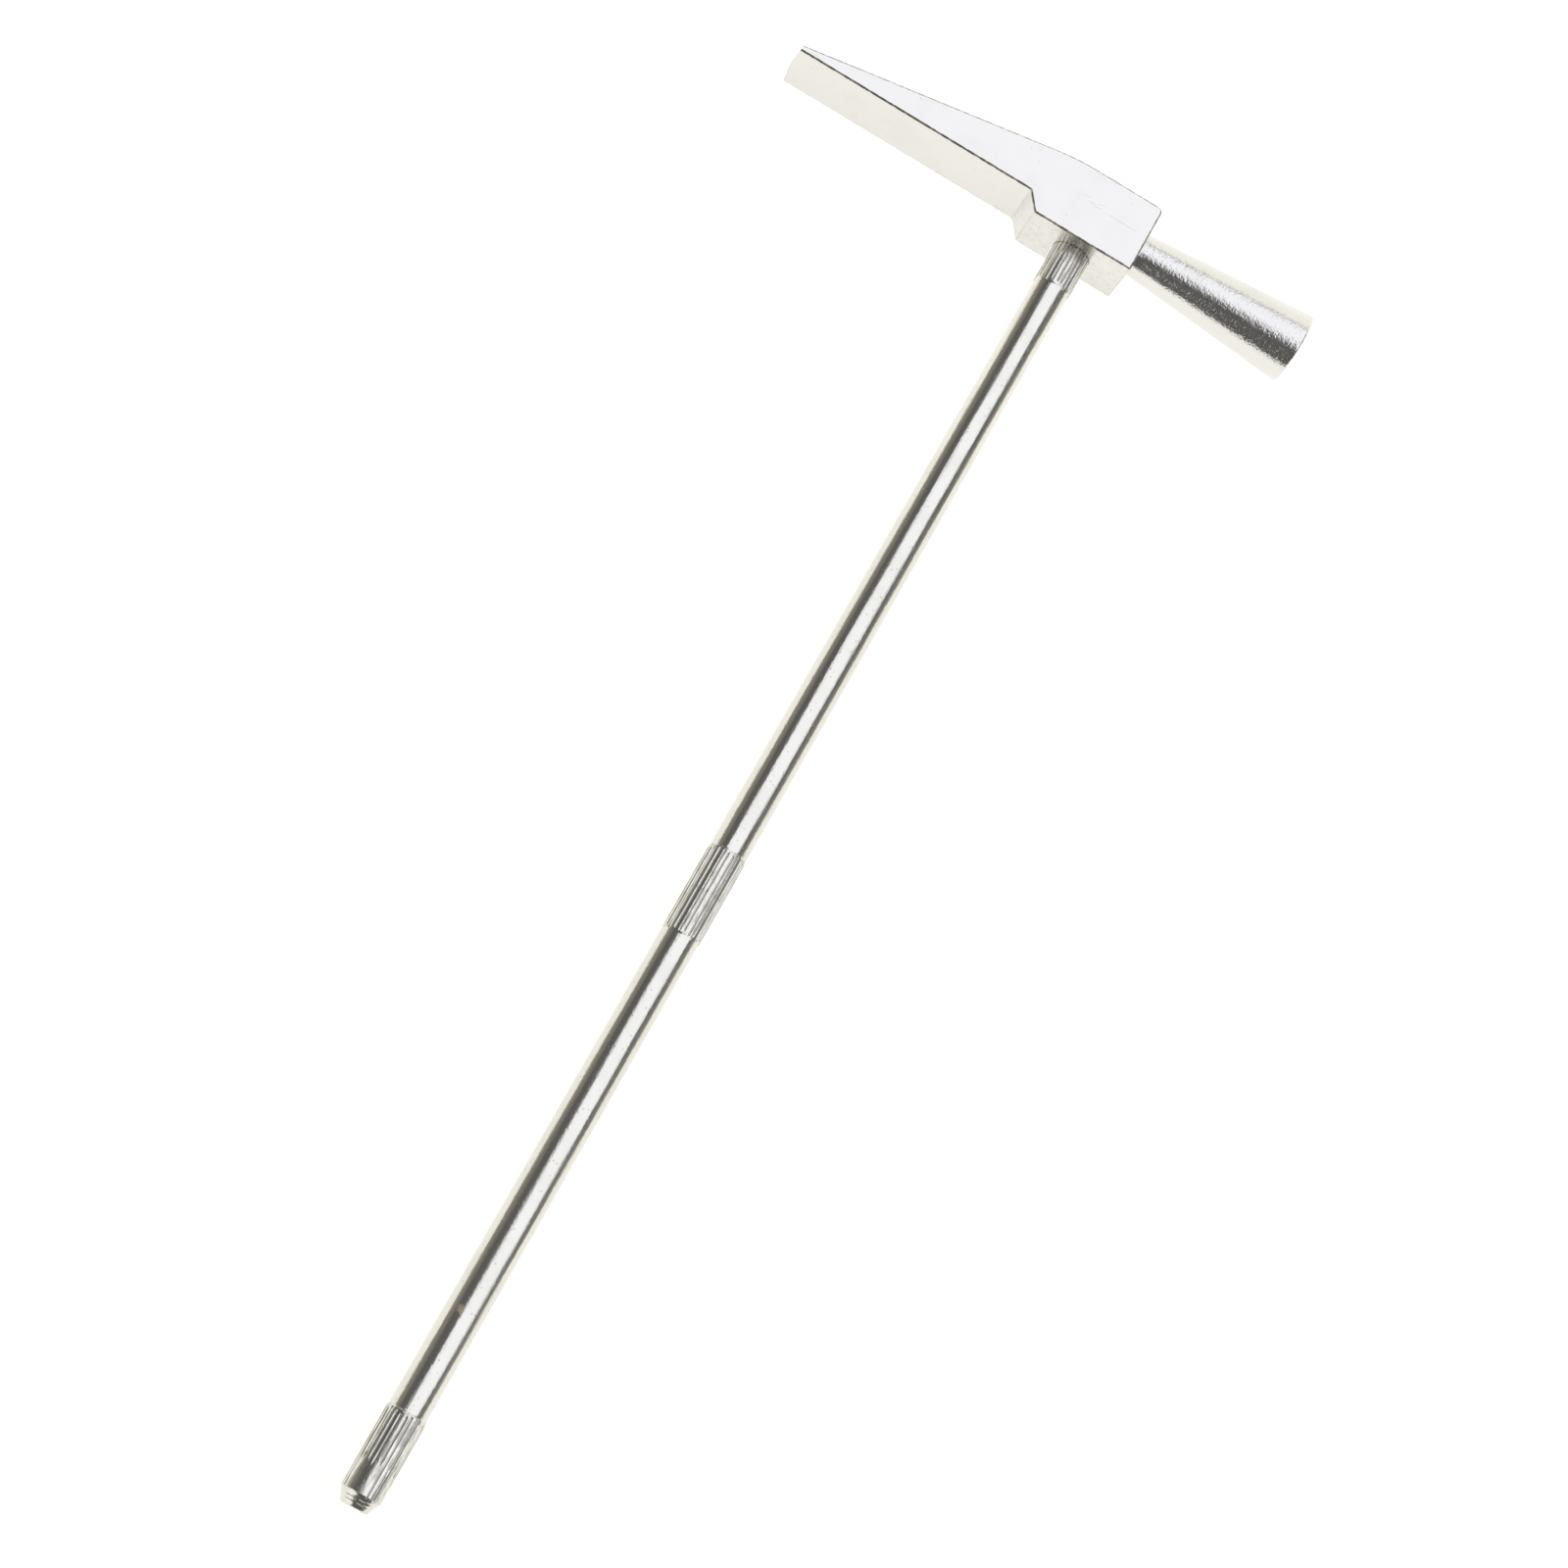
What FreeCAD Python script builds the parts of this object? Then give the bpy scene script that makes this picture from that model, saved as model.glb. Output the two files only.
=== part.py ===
import FreeCAD, Part
import math
import os

# Small all-metal cross-peen hammer with a slim take-down handle, lying on its side.
# +X runs along the head towards the round striking face, +Y along the handle towards the head,
# and +Z is up. The origin is on the head's lower side face, right under the point
# where the head's axis and the handle's axis cross.

# ---- driving dimensions, in millimetres ----

# head, machined from one piece of square bar
bar_width = 8.0             # section of the square bar, and so of the block
block_peen_side = 5.7       # handle axis to the end of the block's underside, towards the peen
block_poll_side = 6.0       # handle axis to the end of the block, towards the poll
shoulder_run = 1.5          # slanted shoulder under the block, along the head
shoulder_rise = 2.0         # the same shoulder, across the head
peen_length = 28.5          # shoulder to the furthest point of the peen's edge
peen_edge_thickness = 0.6
peen_nose_radius = 0.28     # the edge's two rounds, towards the handle and towards the sloping face
peen_crown_radius = 18.0    # the edge is ground slightly convex across the head
crest_from_axis = 4.4       # handle axis to where the sloping face would meet the block's top
crest_radius = 30.0         # large round that blends the sloping face into the top
top_corner_radius = 0.6     # block's top corner at the poll
edge_break = 0.15           # small round on the head's long edges

# poll, turned on the end of the same bar
poll_length = 19.7
poll_root_diameter = 4.8
poll_turning_allowance = 0.05   # what turning takes off each side of the bar at the striking face
poll_edge_radius = 0.3

# handle, two knurled rods
rod_diameter = 4.0
upper_length = 80.3         # block's underside to the seam between the two rods
lower_length = 67.2         # seam to the butt
socket_depth = 6.0          # blind bore in the head
socket_end_gap = 0.2        # left free under the end of the pressed-in rod
press_interference = 0.02   # how far the knurl's crests bite into the bore, on the radius
butt_taper_length = 1.3
butt_end_diameter = 2.8
butt_ring_count = 2
butt_ring_depth = 0.06
seam_break = 0.03           # tiny round-off on each rod's end at the seam

# straight knurls
flute_count = 24
flute_depth = 0.14
flute_width = 0.24
knurl_width = 5.0           # one pass of the knurling wheel
butt_knurl_length = 8.7
end_knurl_swell = 0.09      # crests above the plain rod, at the head and the butt, on the radius
seam_knurl_swell = 0.05     # the same at the seam
knurl_lead = 0.15           # slope from the plain rod up to the crests

# threaded stud that joins the two rods
thread_diameter = 2.5
thread_pitch = 0.45
engaged_turns = 12
thread_clearance = 0.03     # on the radius
hole_end_gap = 0.5          # free depth past the stud's end
stud_point = 0.3            # chamfer at each end of the stud

# ---- worked out from the driving dimensions ----

handle_height = bar_width / 2
underside_y = -bar_width / 2
seam_y = underside_y - upper_length
butt_y = seam_y - lower_length
rod_radius = rod_diameter / 2
engagement = engaged_turns * thread_pitch


def handle_axis_point(y):
    """A point on the handle's axis."""
    return FreeCAD.Vector(0, y, handle_height)


def rod(y_top, length, radius):
    """A round bar on the handle's axis, from y_top towards the butt."""
    return Part.makeCylinder(radius, length, handle_axis_point(y_top), FreeCAD.Vector(0, -1, 0))


def turned(outline):
    """A solid of revolution about the handle's axis from (radius, y) points, axis points included."""
    points = [FreeCAD.Vector(radius, y, handle_height) for radius, y in outline]
    face = Part.Face(Part.makePolygon(points + points[:1]))
    return face.revolve(handle_axis_point(0), FreeCAD.Vector(0, 1, 0), 360)


def tangent_arc(before, corner, after, radius):
    """An arc that rounds a corner of an outline, tangent to both of its sides."""
    to_before = (before - corner).normalize()
    to_after = (after - corner).normalize()
    half_angle = to_before.getAngle(to_after) / 2
    reach = radius / math.tan(half_angle)
    middle_line = (to_before + to_after).normalize()
    start = corner + to_before * reach
    end = corner + to_after * reach
    middle = corner + middle_line * (radius / math.sin(half_angle) - radius)
    return start, end, Part.Arc(start, middle, end).toShape()


# ---- head ----

def head_block():
    """Block and cross peen: one outline through the bar's whole width."""
    top_y = bar_width / 2
    peen_underside_y = underside_y + shoulder_rise
    shoulder_x = -block_peen_side - shoulder_run
    edge_x = shoulder_x - peen_length
    corners = [
        (shoulder_x, peen_underside_y, 0),
        (-block_peen_side, underside_y, 0),
        (block_poll_side, underside_y, 0),
        (block_poll_side, top_y, top_corner_radius),
        (-crest_from_axis, top_y, crest_radius),
        (edge_x, peen_underside_y + peen_edge_thickness, peen_nose_radius),
        (edge_x, peen_underside_y, peen_nose_radius),
    ]
    points = [FreeCAD.Vector(x, y, 0) for x, y, _ in corners]
    edges = []
    last = points[0]
    for i, (_, _, radius) in enumerate(corners[1:], start=1):
        if radius:
            start, end, arc = tangent_arc(points[i - 1], points[i], points[(i + 1) % len(points)], radius)
            edges += [Part.makeLine(last, start), arc]
            last = end
        else:
            edges.append(Part.makeLine(last, points[i]))
            last = points[i]
    edges.append(Part.makeLine(last, points[0]))
    block = Part.Face(Part.Wire(edges)).extrude(FreeCAD.Vector(0, 0, bar_width))
    side_edges = [edge for edge in block.Edges if edge.BoundBox.ZLength < edge_break]
    return block.makeFillet(edge_break, side_edges).cut(crown_waste(edge_x))


def crown_waste(edge_x):
    """What grinding the peen's edge convex takes away."""
    corner = FreeCAD.Vector(edge_x - bar_width / 2, -bar_width, -bar_width / 2)
    stock = Part.makeBox(bar_width, 2 * bar_width, 2 * bar_width, corner)
    centre = FreeCAD.Vector(edge_x + peen_crown_radius, -bar_width, bar_width / 2)
    wheel = Part.makeCylinder(peen_crown_radius, 2 * bar_width, centre, FreeCAD.Vector(0, 1, 0))
    return stock.cut(wheel)


def poll():
    """Round poll that flares from a narrow neck to the flat striking face."""
    face_radius = bar_width / 2 - poll_turning_allowance
    neck_radius = poll_root_diameter / 2
    face_x = block_poll_side + poll_length
    axis_z = bar_width / 2

    def point(x, radius):
        return FreeCAD.Vector(x, 0, axis_z + radius)

    neck = point(block_poll_side, neck_radius)
    corner = point(face_x, face_radius)
    centre = point(face_x, 0)
    start, end, arc = tangent_arc(neck, corner, centre, poll_edge_radius)
    buried_x = block_poll_side - neck_radius
    outline = Part.Wire([
        Part.makeLine(point(buried_x, 0), point(buried_x, neck_radius)),
        Part.makeLine(point(buried_x, neck_radius), neck),
        Part.makeLine(neck, start),
        arc,
        Part.makeLine(end, centre),
        Part.makeLine(centre, point(buried_x, 0)),
    ])
    return Part.Face(outline).revolve(point(0, 0), FreeCAD.Vector(1, 0, 0), 360)


def hammer_head():
    """The head in one piece, with the blind bore for the handle in its underside."""
    socket_radius = rod_radius + end_knurl_swell - press_interference
    socket = rod(underside_y + socket_depth, socket_depth + bar_width, socket_radius)
    return head_block().fuse(poll()).cut(socket).removeSplitter()


# ---- straight knurls ----

def knurl(y_top, length, swell):
    """A fluted band: crests a little proud of the rod, with narrow V grooves between wide lands."""
    crest = rod_radius + swell
    band = turned([
        (0, y_top),
        (rod_radius, y_top),
        (crest, y_top - knurl_lead),
        (crest, y_top - length + knurl_lead),
        (rod_radius, y_top - length),
        (0, y_top - length),
    ])
    tools = []
    for i in range(flute_count):
        tool = Part.makePolygon([
            FreeCAD.Vector(-flute_width / 2, 0, crest),
            FreeCAD.Vector(flute_width / 2, 0, crest),
            FreeCAD.Vector(0, 0, crest - flute_depth),
            FreeCAD.Vector(-flute_width / 2, 0, crest),
        ])
        groove = Part.Face(tool).extrude(FreeCAD.Vector(0, -length, 0))
        groove.rotate(FreeCAD.Vector(0, 0, 0), FreeCAD.Vector(0, 1, 0), i * 360 / flute_count)
        groove.translate(handle_axis_point(y_top))
        tools.append(groove)
    return band, tools


def knurled_rod(body, bands):
    """A rod with its knurled bands raised and their flutes cut."""
    rings = [knurl(*band) for band in bands]
    raised = body.fuse([ring for ring, _ in rings])
    return raised.cut([tool for _, tools in rings for tool in tools])


# ---- handle ----

def tapped_hole(y_mouth, direction):
    """The hole for half of the stud, cut from the seam towards the head (+1) or the butt (-1)."""
    depth = engagement + hole_end_gap
    radius = thread_diameter / 2 + thread_clearance
    return Part.makeCylinder(radius, depth, handle_axis_point(y_mouth), FreeCAD.Vector(0, direction, 0))


def upper_handle():
    """Rod pressed into the head, knurled where it enters the head and at the seam."""
    pressed_in = socket_depth - socket_end_gap
    top_y = underside_y + pressed_in
    body = turned([
        (0, top_y),
        (rod_radius, top_y),
        (rod_radius, seam_y + seam_break),
        (rod_radius - seam_break, seam_y),
        (0, seam_y),
    ])
    bands = [
        (top_y, pressed_in + knurl_width, end_knurl_swell),
        (seam_y + knurl_width, knurl_width - seam_break, seam_knurl_swell),
    ]
    return knurled_rod(body, bands).cut(tapped_hole(seam_y, 1))


def lower_handle():
    """Rod that screws on under the upper one, knurled at the seam and at its turned-down butt."""
    shoulder_y = butt_y + butt_taper_length
    end_radius = butt_end_diameter / 2
    outline = [
        (0, seam_y),
        (rod_radius - seam_break, seam_y),
        (rod_radius, seam_y - seam_break),
        (rod_radius, shoulder_y),
    ]
    # fine turned rings: V grooves spread along the taper
    steps = 2 * butt_ring_count + 1
    for i in range(1, steps):
        share = i / steps
        sunk = butt_ring_depth * (i % 2)
        outline.append((
            rod_radius + (end_radius - rod_radius) * share - sunk,
            shoulder_y - butt_taper_length * share,
        ))
    outline += [(end_radius, butt_y), (0, butt_y)]
    bands = [
        (seam_y - seam_break, knurl_width - seam_break, seam_knurl_swell),
        (shoulder_y + butt_knurl_length, butt_knurl_length, end_knurl_swell),
    ]
    return knurled_rod(turned(outline), bands).cut(tapped_hole(seam_y, -1))


def joint_stud():
    """Threaded stud across the seam, drawn at the thread's outer diameter."""
    radius = thread_diameter / 2
    return turned([
        (0, seam_y + engagement),
        (radius - stud_point, seam_y + engagement),
        (radius, seam_y + engagement - stud_point),
        (radius, seam_y - engagement + stud_point),
        (radius - stud_point, seam_y - engagement),
        (0, seam_y - engagement),
    ])


# ---- write one file per piece ----

os.makedirs("parts", exist_ok=True)
pieces = {
    "hammer_head": hammer_head,
    "upper_handle": upper_handle,
    "lower_handle": lower_handle,
    "joint_stud": joint_stud,
}
for name, make in pieces.items():
    shape = make()
    shape.exportStep(f"parts/{name}.step")
    print(name, len(shape.Solids), "solid", shape.isValid(), round(shape.Volume, 2), "mm3")
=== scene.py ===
# %% [markdown]
# # A small plated cross-peen hammer
# The hammer lies on its side: the head along X with the round striking face at +X, the handle along Y
# with its butt at -Y, and Z up. The imported model says where everything is, so the script loads it first
# and reads its boxes.

# %% Load the frame
import math

import bmesh
import bpy
from mathutils import Matrix, Vector


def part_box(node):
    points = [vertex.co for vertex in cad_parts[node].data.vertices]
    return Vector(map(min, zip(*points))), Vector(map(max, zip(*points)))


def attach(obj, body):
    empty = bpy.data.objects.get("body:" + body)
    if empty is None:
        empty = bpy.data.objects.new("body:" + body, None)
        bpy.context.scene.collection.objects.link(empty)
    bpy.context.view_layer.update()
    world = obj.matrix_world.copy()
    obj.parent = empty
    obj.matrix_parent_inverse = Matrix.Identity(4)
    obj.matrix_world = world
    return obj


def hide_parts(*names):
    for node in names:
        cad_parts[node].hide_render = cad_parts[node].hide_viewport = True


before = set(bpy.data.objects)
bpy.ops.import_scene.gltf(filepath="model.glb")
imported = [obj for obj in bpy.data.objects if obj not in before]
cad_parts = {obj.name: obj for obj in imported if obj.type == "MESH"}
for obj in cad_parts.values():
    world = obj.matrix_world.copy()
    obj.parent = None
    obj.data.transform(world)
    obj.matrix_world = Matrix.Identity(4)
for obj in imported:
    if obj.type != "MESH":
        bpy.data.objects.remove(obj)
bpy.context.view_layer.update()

# %% [markdown]
# ## Sizes
# Whatever the model can tell is read from its boxes, in metres. The rest are the maker's small sizes:
# edge rounds, knurl grooves, turned rings. They are written once, here, in millimetres times MM.

# %% Sizes read from the model, and the small ones
MM = 0.001
head_low, head_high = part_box("hammer_head")
upper_low, upper_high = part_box("upper_handle")
lower_low, lower_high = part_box("lower_handle")
stud_low, stud_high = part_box("joint_stud")

bar = head_high.z - head_low.z
axis_z = bar / 2
underside_y = head_low.y
top_y = head_high.y
seam_y = upper_low.y
butt_y = lower_low.y
socket_top_y = upper_high.y
thread_radius = (stud_high.x - stud_low.x) / 2

block_peen_side = 5.7 * MM
block_poll_side = 6.0 * MM
shoulder_run = 1.5 * MM
shoulder_rise = 2.0 * MM
peen_edge_thickness = 0.6 * MM
peen_nose_radius = 0.28 * MM
peen_crown_radius = 36.0 * MM
peen_crown_height = 2.0 * MM
edge_round = 0.2 * MM
crest_from_axis = 4.4 * MM
crest_radius = 30.0 * MM
top_corner_radius = 0.6 * MM
poll_neck_radius = 2.4 * MM
poll_face_radius = 3.95 * MM
poll_edge_radius = 0.3 * MM
rod_radius = 2.0 * MM
end_swell = 0.09 * MM
seam_swell = 0.05 * MM
knurl_pitch_count = 24
groove_depth = 0.13 * MM
groove_width = 0.21 * MM
groove_end_length = 0.4 * MM
knurl_width = 5.0 * MM
butt_knurl_length = 8.7 * MM
butt_taper_length = 1.3 * MM
butt_end_radius = 1.4 * MM
butt_ring_places = (0.28, 0.56)
socket_radius = rod_radius + end_swell - 0.02 * MM
hole_radius = thread_radius + 0.03 * MM
hole_end_gap = 0.5 * MM
thread_pitch = 0.45 * MM
thread_depth = 0.26 * MM
engaged_turns = 12
print(f"head {1000 * (head_high.x - head_low.x):.1f} mm long, hammer {1000 * (top_y - butt_y):.1f} mm long")

# %% [markdown]
# ## Arithmetic with nodes
# Both the shapes and the finishes below are formulas of position, and a formula reads best as a formula.
# `Value` wraps one output of a node, and its operators add Math nodes, so `1 - mask` works as written.
# `Graph.add` makes every other node from its type, its settings and what goes into its sockets.

# %% Value and Graph
class Value:
    """One output of a node tree. Arithmetic on it adds Math nodes to the same tree."""

    def __init__(self, graph, socket):
        self.graph = graph
        self.socket = socket

    def math(self, operation, *others):
        inputs = dict(enumerate((self,) + others))
        return self.graph.add("ShaderNodeMath", {"operation": operation}, inputs)

    def __add__(self, other):
        return self.math("ADD", other)

    def __radd__(self, other):
        return self.math("ADD", other)

    def __sub__(self, other):
        return self.math("SUBTRACT", other)

    def __rsub__(self, other):
        return self.graph.add("ShaderNodeMath", {"operation": "SUBTRACT"}, {0: other, 1: self})

    def __mul__(self, other):
        return self.math("MULTIPLY", other)

    def __rmul__(self, other):
        return self.math("MULTIPLY", other)

    def __truediv__(self, other):
        return self.math("DIVIDE", other)


class Graph:
    """A node tree under construction."""

    def __init__(self, tree):
        self.tree = tree

    def add(self, kind, settings=None, inputs=None, output=0):
        """Add one node. Inputs are keyed by name or by position, outputs likewise."""
        node = self.tree.nodes.new(kind)
        for name, setting in (settings or {}).items():
            setattr(node, name, setting)
        for key, value in (inputs or {}).items():
            socket = self.pick(node.inputs, key)
            if isinstance(value, Value):
                self.tree.links.new(value.socket, socket)
            else:
                socket.default_value = value
        return Value(self, self.pick(node.outputs, output))

    @staticmethod
    def pick(sockets, key):
        if isinstance(key, int):
            return sockets[key]
        return next(socket for socket in sockets if socket.name == key and socket.enabled)

    def surface(self, shader, kind="ShaderNodeOutputMaterial"):
        """Send a shader to the tree's output."""
        output = self.tree.nodes.new(kind)
        self.tree.links.new(shader.socket, output.inputs["Surface"])

    def parts(self, vector):
        """The x, y and z of a vector."""
        return [self.add("ShaderNodeSeparateXYZ", None, {0: vector}, axis) for axis in range(3)]

    def smooth_step(self, value, start, end):
        """0 up to start, 1 from end on, and an even S between them."""
        inputs = {"Value": value, "From Min": start, "From Max": end}
        return self.add("ShaderNodeMapRange", {"interpolation_type": "SMOOTHSTEP"}, inputs)


# %% [markdown]
# ## Turned pieces
# A lathe turns an outline round an axis, and so does this tree. It takes a row of outline points, makes a
# grid with one row of vertices for each point, and rotates each column a little further about the axis.
# Merging the doubles closes the seam and the poles. A spin in mesh code would do it once; a tree with
# named inputs serves the rods, the stud, the poll and the bore cutter alike.

# %% The "turn an outline" tree
def new_tree(name, sockets):
    """An empty geometry tree with the given inputs and one geometry output."""
    tree = bpy.data.node_groups.new(name, "GeometryNodeTree")
    tree.interface.new_socket("Geometry", in_out="OUTPUT", socket_type="NodeSocketGeometry")
    for label, kind in sockets:
        tree.interface.new_socket(label, in_out="INPUT", socket_type="NodeSocket" + kind)
    graph = Graph(tree)
    group_input = tree.nodes.new("NodeGroupInput")
    given = {label: Value(graph, group_input.outputs[label]) for label, _ in sockets}
    return graph, given


def close_tree(graph, geometry, material):
    """Every tree ends the same way: real geometry, smooth shading, its material."""
    smooth = graph.add("GeometryNodeSetShadeSmooth", None, {"Geometry": geometry})
    real = graph.add("GeometryNodeRealizeInstances", None, {"Geometry": smooth})
    painted = graph.add("GeometryNodeSetMaterial", None, {"Geometry": real, "Material": material})
    output = graph.tree.nodes.new("NodeGroupOutput")
    graph.tree.links.new(painted.socket, output.inputs["Geometry"])
    return graph.tree


def turning_tree():
    graph, given = new_tree("turn an outline", [
        ("Outline", "Geometry"),
        ("Segments", "Int"),
        ("Axis Point", "Vector"),
        ("Axis Direction", "Vector"),
        ("Material", "Material"),
    ])
    rows = graph.add("GeometryNodeAttributeDomainSize", None, {"Geometry": given["Outline"]}, "Point Count")
    segments = given["Segments"]
    grid = graph.add("GeometryNodeMeshGrid", None, {"Vertices X": segments + 1, "Vertices Y": rows})
    index = graph.add("GeometryNodeInputIndex")
    column = ((index + 0.5) / rows).math("FLOOR")
    row = index - column * rows
    place = graph.add("GeometryNodeInputPosition")
    outline_point = graph.add("GeometryNodeSampleIndex", {"data_type": "FLOAT_VECTOR"}, {
        "Geometry": given["Outline"],
        "Value": place,
        "Index": row,
    })
    turned = graph.add("ShaderNodeVectorRotate", {"rotation_type": "AXIS_ANGLE"}, {
        "Vector": outline_point,
        "Center": given["Axis Point"],
        "Axis": given["Axis Direction"],
        "Angle": column / segments * math.tau,
    })
    moved = graph.add("GeometryNodeSetPosition", None, {"Geometry": grid, "Position": turned})
    merged = graph.add("GeometryNodeMergeByDistance", None, {"Geometry": moved, "Distance": 0.001 * MM})
    return close_tree(graph, merged, given["Material"])


turn_outline = turning_tree()
print("tree:", turn_outline.name, "with", len(turn_outline.nodes), "nodes")

# %% [markdown]
# ## Straight knurls
# A knurling wheel pressed into the turning rod raises wide lands and rolls narrow grooves between them.
# The grooves aren't perfect: each sits a hair off its pitch, has its own depth and runs out where it likes.
# So the tree finds, for each vertex, which groove it belongs to and how far it is from that groove's
# middle, and gives each groove its own random numbers, fixed by the seed. At the butt the wheel was
# run off the end with less pressure, so the grooves fade there, some sooner than others.

# %% The "roll a straight knurl" tree
def knurling_tree():
    graph, given = new_tree("roll a straight knurl", [
        ("Geometry", "Geometry"),
        ("Axis Height", "Float"),
        ("Rod Radius", "Float"),
        ("Start", "Float"),
        ("End", "Float"),
        ("Flutes", "Int"),
        ("Depth", "Float"),
        ("Width", "Float"),
        ("Run-out", "Float"),
        ("Raggedness", "Float"),
        ("Fade From", "Float"),
        ("Seed", "Int"),
        ("Material", "Material"),
    ])
    place = graph.add("GeometryNodeInputPosition")
    x, y, z = graph.parts(place)
    up = z - given["Axis Height"]
    radius = (x * x + up * up).math("SQRT")
    flutes = given["Flutes"]
    turn = x.math("ARCTAN2", up) / math.tau * flutes
    nearest = turn.math("ROUND")
    number = nearest.math("FLOORED_MODULO", flutes)

    def per_flute(low, high, offset):
        """A random number that belongs to one groove."""
        seed = given["Seed"] + offset
        inputs = {"Min": low, "Max": high, "ID": number, "Seed": seed}
        return graph.add("FunctionNodeRandomValue", {"data_type": "FLOAT"}, inputs, "Value")

    pitch = radius * math.tau / flutes
    off_middle = (turn - nearest - per_flute(-0.14, 0.14, 0)).math("ABSOLUTE") * pitch
    half_width = given["Width"] * per_flute(0.4, 0.6, 1)
    across = 1 - graph.smooth_step(off_middle, 0, half_width)
    from_start = given["Start"] - y - given["Raggedness"] * per_flute(0, 1, 2)
    from_end = y - given["End"] - given["Raggedness"] * per_flute(0, 1, 3)
    along = graph.smooth_step(from_start.math("MINIMUM", from_end), 0, given["Run-out"])
    past_fade = given["Fade From"] - y - per_flute(-0.5, 0.5, 4) * MM
    faded = graph.smooth_step(past_fade, 0, 0.9 * MM)
    kept = per_flute(-0.4, 1.0, 5).math("MAXIMUM", 0)
    pressure = (1 - faded * (1 - kept)) * per_flute(0.75, 1.1, 6)
    outside = radius.math("GREATER_THAN", given["Rod Radius"] - 0.01 * MM)
    new_radius = radius - given["Depth"] * across * along * pressure * outside
    scale = new_radius / radius.math("MAXIMUM", 0.001 * MM)
    target = graph.add("ShaderNodeCombineXYZ", None, {
        "X": x * scale,
        "Y": y,
        "Z": given["Axis Height"] + up * scale,
    })
    moved = graph.add("GeometryNodeSetPosition", None, {"Geometry": given["Geometry"], "Position": target})
    return close_tree(graph, moved, given["Material"])


roll_knurl = knurling_tree()
print("tree:", roll_knurl.name, "with", len(roll_knurl.nodes), "nodes")

# %% [markdown]
# ## Screw thread
# The stud is turned first and threaded after, in the shop as here. A right-hand thread is a V that moves
# one pitch along the axis for each turn, so its depth is a zigzag of height plus angle.

# %% The "cut a thread" tree
def threading_tree():
    graph, given = new_tree("cut a thread", [
        ("Geometry", "Geometry"),
        ("Axis Height", "Float"),
        ("Outer Radius", "Float"),
        ("Pitch", "Float"),
        ("Depth", "Float"),
        ("Material", "Material"),
    ])
    place = graph.add("GeometryNodeInputPosition")
    x, y, z = graph.parts(place)
    up = z - given["Axis Height"]
    radius = (x * x + up * up).math("SQRT")
    turn = x.math("ARCTAN2", up) / math.tau
    phase = (y / given["Pitch"] - turn).math("FRACT")
    from_crest = 1 - (phase * 2 - 1).math("ABSOLUTE")
    flank = graph.smooth_step(from_crest, 0.08, 0.92)
    root_radius = given["Outer Radius"] - given["Depth"] * flank
    new_radius = radius.math("MINIMUM", root_radius)
    scale = new_radius / radius.math("MAXIMUM", 0.001 * MM)
    target = graph.add("ShaderNodeCombineXYZ", None, {
        "X": x * scale,
        "Y": y,
        "Z": given["Axis Height"] + up * scale,
    })
    moved = graph.add("GeometryNodeSetPosition", None, {"Geometry": given["Geometry"], "Position": target})
    return close_tree(graph, moved, given["Material"])


cut_thread = threading_tree()
print("tree:", cut_thread.name, "with", len(cut_thread.nodes), "nodes")

# %% [markdown]
# ## Running the trees
# A tree works as a modifier on an object. Its inputs are set by each socket's identifier before the object
# is first evaluated. The result is read back as a plain mesh, which is all that the finished piece keeps.

# %% Outlines, modifiers and plain meshes
def outline_object(name, points):
    """A row of points, in metres, as an object that the turning tree can take."""
    mesh = bpy.data.meshes.new(name)
    mesh.from_pydata([Vector(point) for point in points], [(i, i + 1) for i in range(len(points) - 1)], [])
    piece = bpy.data.objects.new(name, mesh)
    bpy.context.scene.collection.objects.link(piece)
    return piece


def run_tree(piece, tree, **values):
    """Add a tree to a piece as a modifier. Values are keyed by input name, with _ for a space."""
    modifier = piece.modifiers.new(tree.name, "NODES")
    modifier.node_group = tree
    for item in tree.interface.items_tree:
        key = item.name.replace(" ", "_").replace("-", "_")
        if item.in_out == "INPUT" and key in values:
            modifier[item.identifier] = values.pop(key)
    assert not values, f"{tree.name} has no input for {sorted(values)}"


def freeze(piece):
    """Turn a piece's modifiers into its plain mesh."""
    bpy.context.view_layer.update()
    evaluated = piece.evaluated_get(bpy.context.evaluated_depsgraph_get())
    mesh = bpy.data.meshes.new_from_object(evaluated)
    mesh.name = piece.name
    piece.modifiers.clear()
    piece.data = mesh
    return piece


def face_outwards(piece):
    """Merge doubles and make all faces of a closed shape point outwards."""
    shape = bmesh.new()
    shape.from_mesh(piece.data)
    bmesh.ops.remove_doubles(shape, verts=shape.verts, dist=0.0005 * MM)
    bmesh.ops.recalc_face_normals(shape, faces=shape.faces)
    open_edges = sum(not edge.is_manifold for edge in shape.edges)
    volume = shape.calc_volume(signed=True)
    shape.to_mesh(piece.data)
    shape.free()
    triangles = sum(len(polygon.vertices) - 2 for polygon in piece.data.polygons)
    print(f"{piece.name}: {triangles} triangles, {open_edges} open edges, {volume * 1e9:.1f} mm3")


def even_rows(start, end, spacing):
    """Values from start to end, both included, no further apart than spacing."""
    steps = max(1, math.ceil(abs(end - start) / spacing))
    return [start + (end - start) * i / steps for i in range(steps + 1)]
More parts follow.
